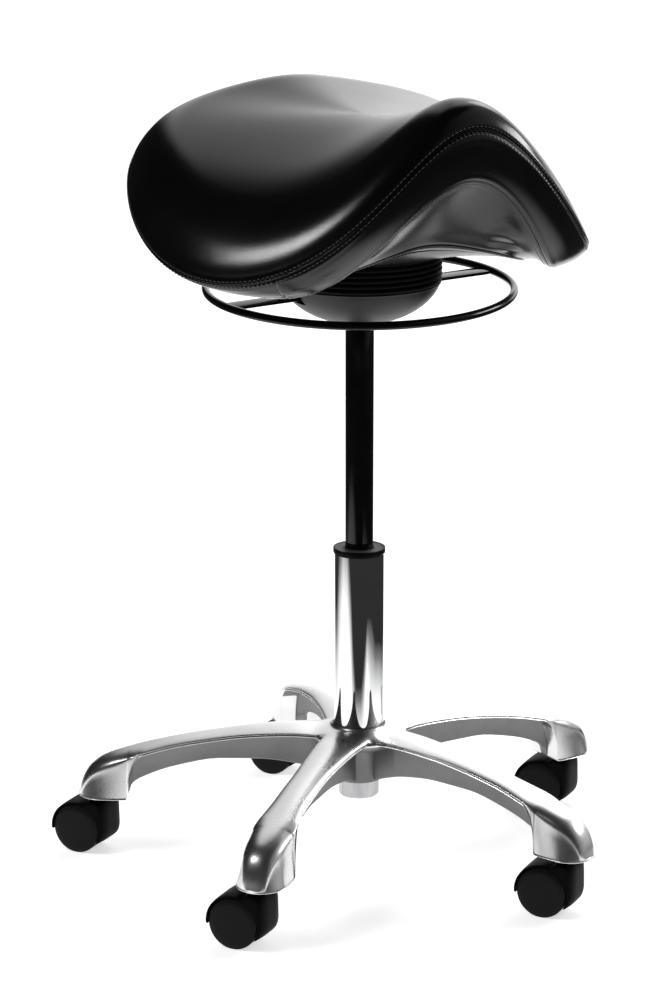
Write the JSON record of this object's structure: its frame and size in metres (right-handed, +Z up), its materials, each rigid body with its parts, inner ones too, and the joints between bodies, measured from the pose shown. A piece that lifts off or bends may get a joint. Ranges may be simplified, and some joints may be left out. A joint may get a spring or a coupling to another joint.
{
  "type": "saddle stool",
  "caption": "Height-adjustable saddle stool: padded saddle seat on a tilting head with a height ring, gas column, polished star base and twin-wheel casters.",
  "frame": {"origin": "floor level, in the middle of the stool's overall width and depth", "axes": "+Z up, -Y towards the front of the seat, +X across the seat, towards the seat's left hand side as the sitter would have it"},
  "size_m": [0.5409, 0.5676, 0.7867],
  "materials": {
    "polished_aluminium": "polished on top, satin cast below",
    "chrome_steel": "mirror chrome",
    "black_steel": "black satin",
    "dark_steel": "satin powder coat",
    "bright_steel": "bright",
    "black_plastic": "fine satin",
    "bowl_plastic": "semi gloss",
    "black_rubber": "matte",
    "bellows_rubber": "matte",
    "brass": "machined",
    "black_leather": "smooth glossy grain",
    "shell_wood": "moulded plywood",
    "cover_fabric": "dark grey woven"
  },
  "bodies": {
    "base": {"star_base": "polished_aluminium", "outer_tube": "chrome_steel", "guide_bush": "black_plastic", "thrust_bearing": "bright_steel", "caster_stem_front_right": "bright_steel", "caster_stem_right": "bright_steel", "caster_stem_rear": "bright_steel", "caster_stem_left": "bright_steel", "caster_stem_front_left": "bright_steel"},
    "spindle": {"piston_rod": "bright_steel", "piston": "brass", "thrust_washer": "bright_steel", "bump_stop": "black_rubber", "retaining_clip": "dark_steel"},
    "head": {"gas_cylinder": "black_steel", "cylinder_gland": "black_plastic", "bowl_housing": "bowl_plastic", "lower_bracket": "dark_steel", "ring_pivot_pin": "bright_steel", "bush_front": "black_rubber", "bush_rear": "black_rubber"},
    "lever": {"height_ring": "black_steel"},
    "release": {"release_pin": "bright_steel"},
    "cross": {"tilt_cross": "bright_steel", "bellows": "bellows_rubber"},
    "seat": {"seat_plate": "dark_steel", "bush_left": "black_rubber", "bush_right": "black_rubber", "seat_bolt_1": "bright_steel", "seat_bolt_2": "bright_steel", "seat_bolt_3": "bright_steel", "seat_bolt_4": "bright_steel", "seat_shell": "shell_wood", "seat_cushion": "black_leather", "underside_cover": "cover_fabric"},
    "caster_front_right": {"caster_hood_front_right": "black_plastic", "caster_axle_front_right": "bright_steel"},
    "wheel_inner_front_right": {"wheel_inner_front_right": "black_plastic"},
    "wheel_outer_front_right": {"wheel_outer_front_right": "black_plastic"},
    "caster_right": {"caster_hood_right": "black_plastic", "caster_axle_right": "bright_steel"},
    "wheel_inner_right": {"wheel_inner_right": "black_plastic"},
    "wheel_outer_right": {"wheel_outer_right": "black_plastic"},
    "caster_rear": {"caster_hood_rear": "black_plastic", "caster_axle_rear": "bright_steel"},
    "wheel_inner_rear": {"wheel_inner_rear": "black_plastic"},
    "wheel_outer_rear": {"wheel_outer_rear": "black_plastic"},
    "caster_left": {"caster_hood_left": "black_plastic", "caster_axle_left": "bright_steel"},
    "wheel_inner_left": {"wheel_inner_left": "black_plastic"},
    "wheel_outer_left": {"wheel_outer_left": "black_plastic"},
    "caster_front_left": {"caster_hood_front_left": "black_plastic", "caster_axle_front_left": "bright_steel"},
    "wheel_inner_front_left": {"wheel_inner_front_left": "black_plastic"},
    "wheel_outer_front_left": {"wheel_outer_front_left": "black_plastic"}
  },
  "joints": [
    {"name": "seat_turn", "type": "hinge", "parent": "base", "child": "spindle", "pos_m": [-0.0115, -0.0172, 0.3], "axis": [0, 0, 1], "continuous": true},
    {"name": "seat_height", "type": "slide", "parent": "spindle", "child": "head", "axis": [0, 0, 1], "range_m": [-0.19, 0]},
    {"name": "ring_press", "type": "hinge", "parent": "head", "child": "lever", "pos_m": [-0.0115, 0.0088, 0.5815], "axis": [1, 0, 0], "range_deg": [0, 5], "stiffness_Nm_per_rad": 6, "springref_deg": -5.73},
    {"name": "valve_press", "type": "slide", "parent": "head", "child": "release", "axis": [0, 0, 1], "range_m": [-0.0025, 0]},
    {"name": "seat_roll", "type": "hinge", "parent": "head", "child": "cross", "pos_m": [-0.0115, -0.0172, 0.599], "axis": [0, 1, 0], "range_deg": [-4.5, 4.5], "stiffness_Nm_per_rad": 300, "deforming": ["bellows"]},
    {"name": "seat_pitch", "type": "hinge", "parent": "cross", "child": "seat", "pos_m": [-0.0115, -0.0172, 0.599], "axis": [1, 0, 0], "range_deg": [-4.5, 4.5], "stiffness_Nm_per_rad": 300, "deforming": ["bellows"]},
    {"name": "caster_turn_front_right", "type": "hinge", "parent": "base", "child": "caster_front_right", "pos_m": [0.07691, -0.26011, 0.045], "axis": [0, 0, 1], "continuous": true},
    {"name": "wheel_inner_roll_front_right", "type": "hinge", "parent": "caster_front_right", "child": "wheel_inner_front_right", "pos_m": [0.06492, -0.24227, 0.025], "axis": [0.83, 0.5577, 0], "continuous": true},
    {"name": "wheel_outer_roll_front_right", "type": "hinge", "parent": "caster_front_right", "child": "wheel_outer_front_right", "pos_m": [0.06492, -0.24227, 0.025], "axis": [0.83, 0.5577, 0], "continuous": true},
    {"name": "caster_turn_right", "type": "hinge", "parent": "base", "child": "caster_right", "pos_m": [0.24684, -0.00818, 0.045], "axis": [0, 0, 1], "continuous": true},
    {"name": "wheel_inner_roll_right", "type": "hinge", "parent": "caster_right", "child": "wheel_inner_right", "pos_m": [0.23485, 0.00967, 0.025], "axis": [0.83, 0.5577, 0], "continuous": true},
    {"name": "wheel_outer_roll_right", "type": "hinge", "parent": "caster_right", "child": "wheel_outer_right", "pos_m": [0.23485, 0.00967, 0.025], "axis": [0.83, 0.5577, 0], "continuous": true},
    {"name": "caster_turn_rear", "type": "hinge", "parent": "base", "child": "caster_rear", "pos_m": [0.05975, 0.23129, 0.045], "axis": [0, 0, 1], "continuous": true},
    {"name": "wheel_inner_roll_rear", "type": "hinge", "parent": "caster_rear", "child": "wheel_inner_rear", "pos_m": [0.04776, 0.24913, 0.025], "axis": [0.83, 0.5577, 0], "continuous": true},
    {"name": "wheel_outer_roll_rear", "type": "hinge", "parent": "caster_rear", "child": "wheel_outer_rear", "pos_m": [0.04776, 0.24913, 0.025], "axis": [0.83, 0.5577, 0], "continuous": true},
    {"name": "caster_turn_left", "type": "hinge", "parent": "base", "child": "caster_left", "pos_m": [-0.22581, 0.12735, 0.045], "axis": [0, 0, 1], "continuous": true},
    {"name": "wheel_inner_roll_left", "type": "hinge", "parent": "caster_left", "child": "wheel_inner_left", "pos_m": [-0.2378, 0.1452, 0.025], "axis": [0.83, 0.5577, 0], "continuous": true},
    {"name": "wheel_outer_roll_left", "type": "hinge", "parent": "caster_left", "child": "wheel_outer_left", "pos_m": [-0.2378, 0.1452, 0.025], "axis": [0.83, 0.5577, 0], "continuous": true},
    {"name": "caster_turn_front_left", "type": "hinge", "parent": "base", "child": "caster_front_left", "pos_m": [-0.2152, -0.17635, 0.045], "axis": [0, 0, 1], "continuous": true},
    {"name": "wheel_inner_roll_front_left", "type": "hinge", "parent": "caster_front_left", "child": "wheel_inner_front_left", "pos_m": [-0.22719, -0.1585, 0.025], "axis": [0.83, 0.5577, 0], "continuous": true},
    {"name": "wheel_outer_roll_front_left", "type": "hinge", "parent": "caster_front_left", "child": "wheel_outer_front_left", "pos_m": [-0.22719, -0.1585, 0.025], "axis": [0.83, 0.5577, 0], "continuous": true}
  ],
  "couplings": [
    {"joint": "valve_press", "follows": "ring_press", "m_per_rad": -0.026}
  ]
}
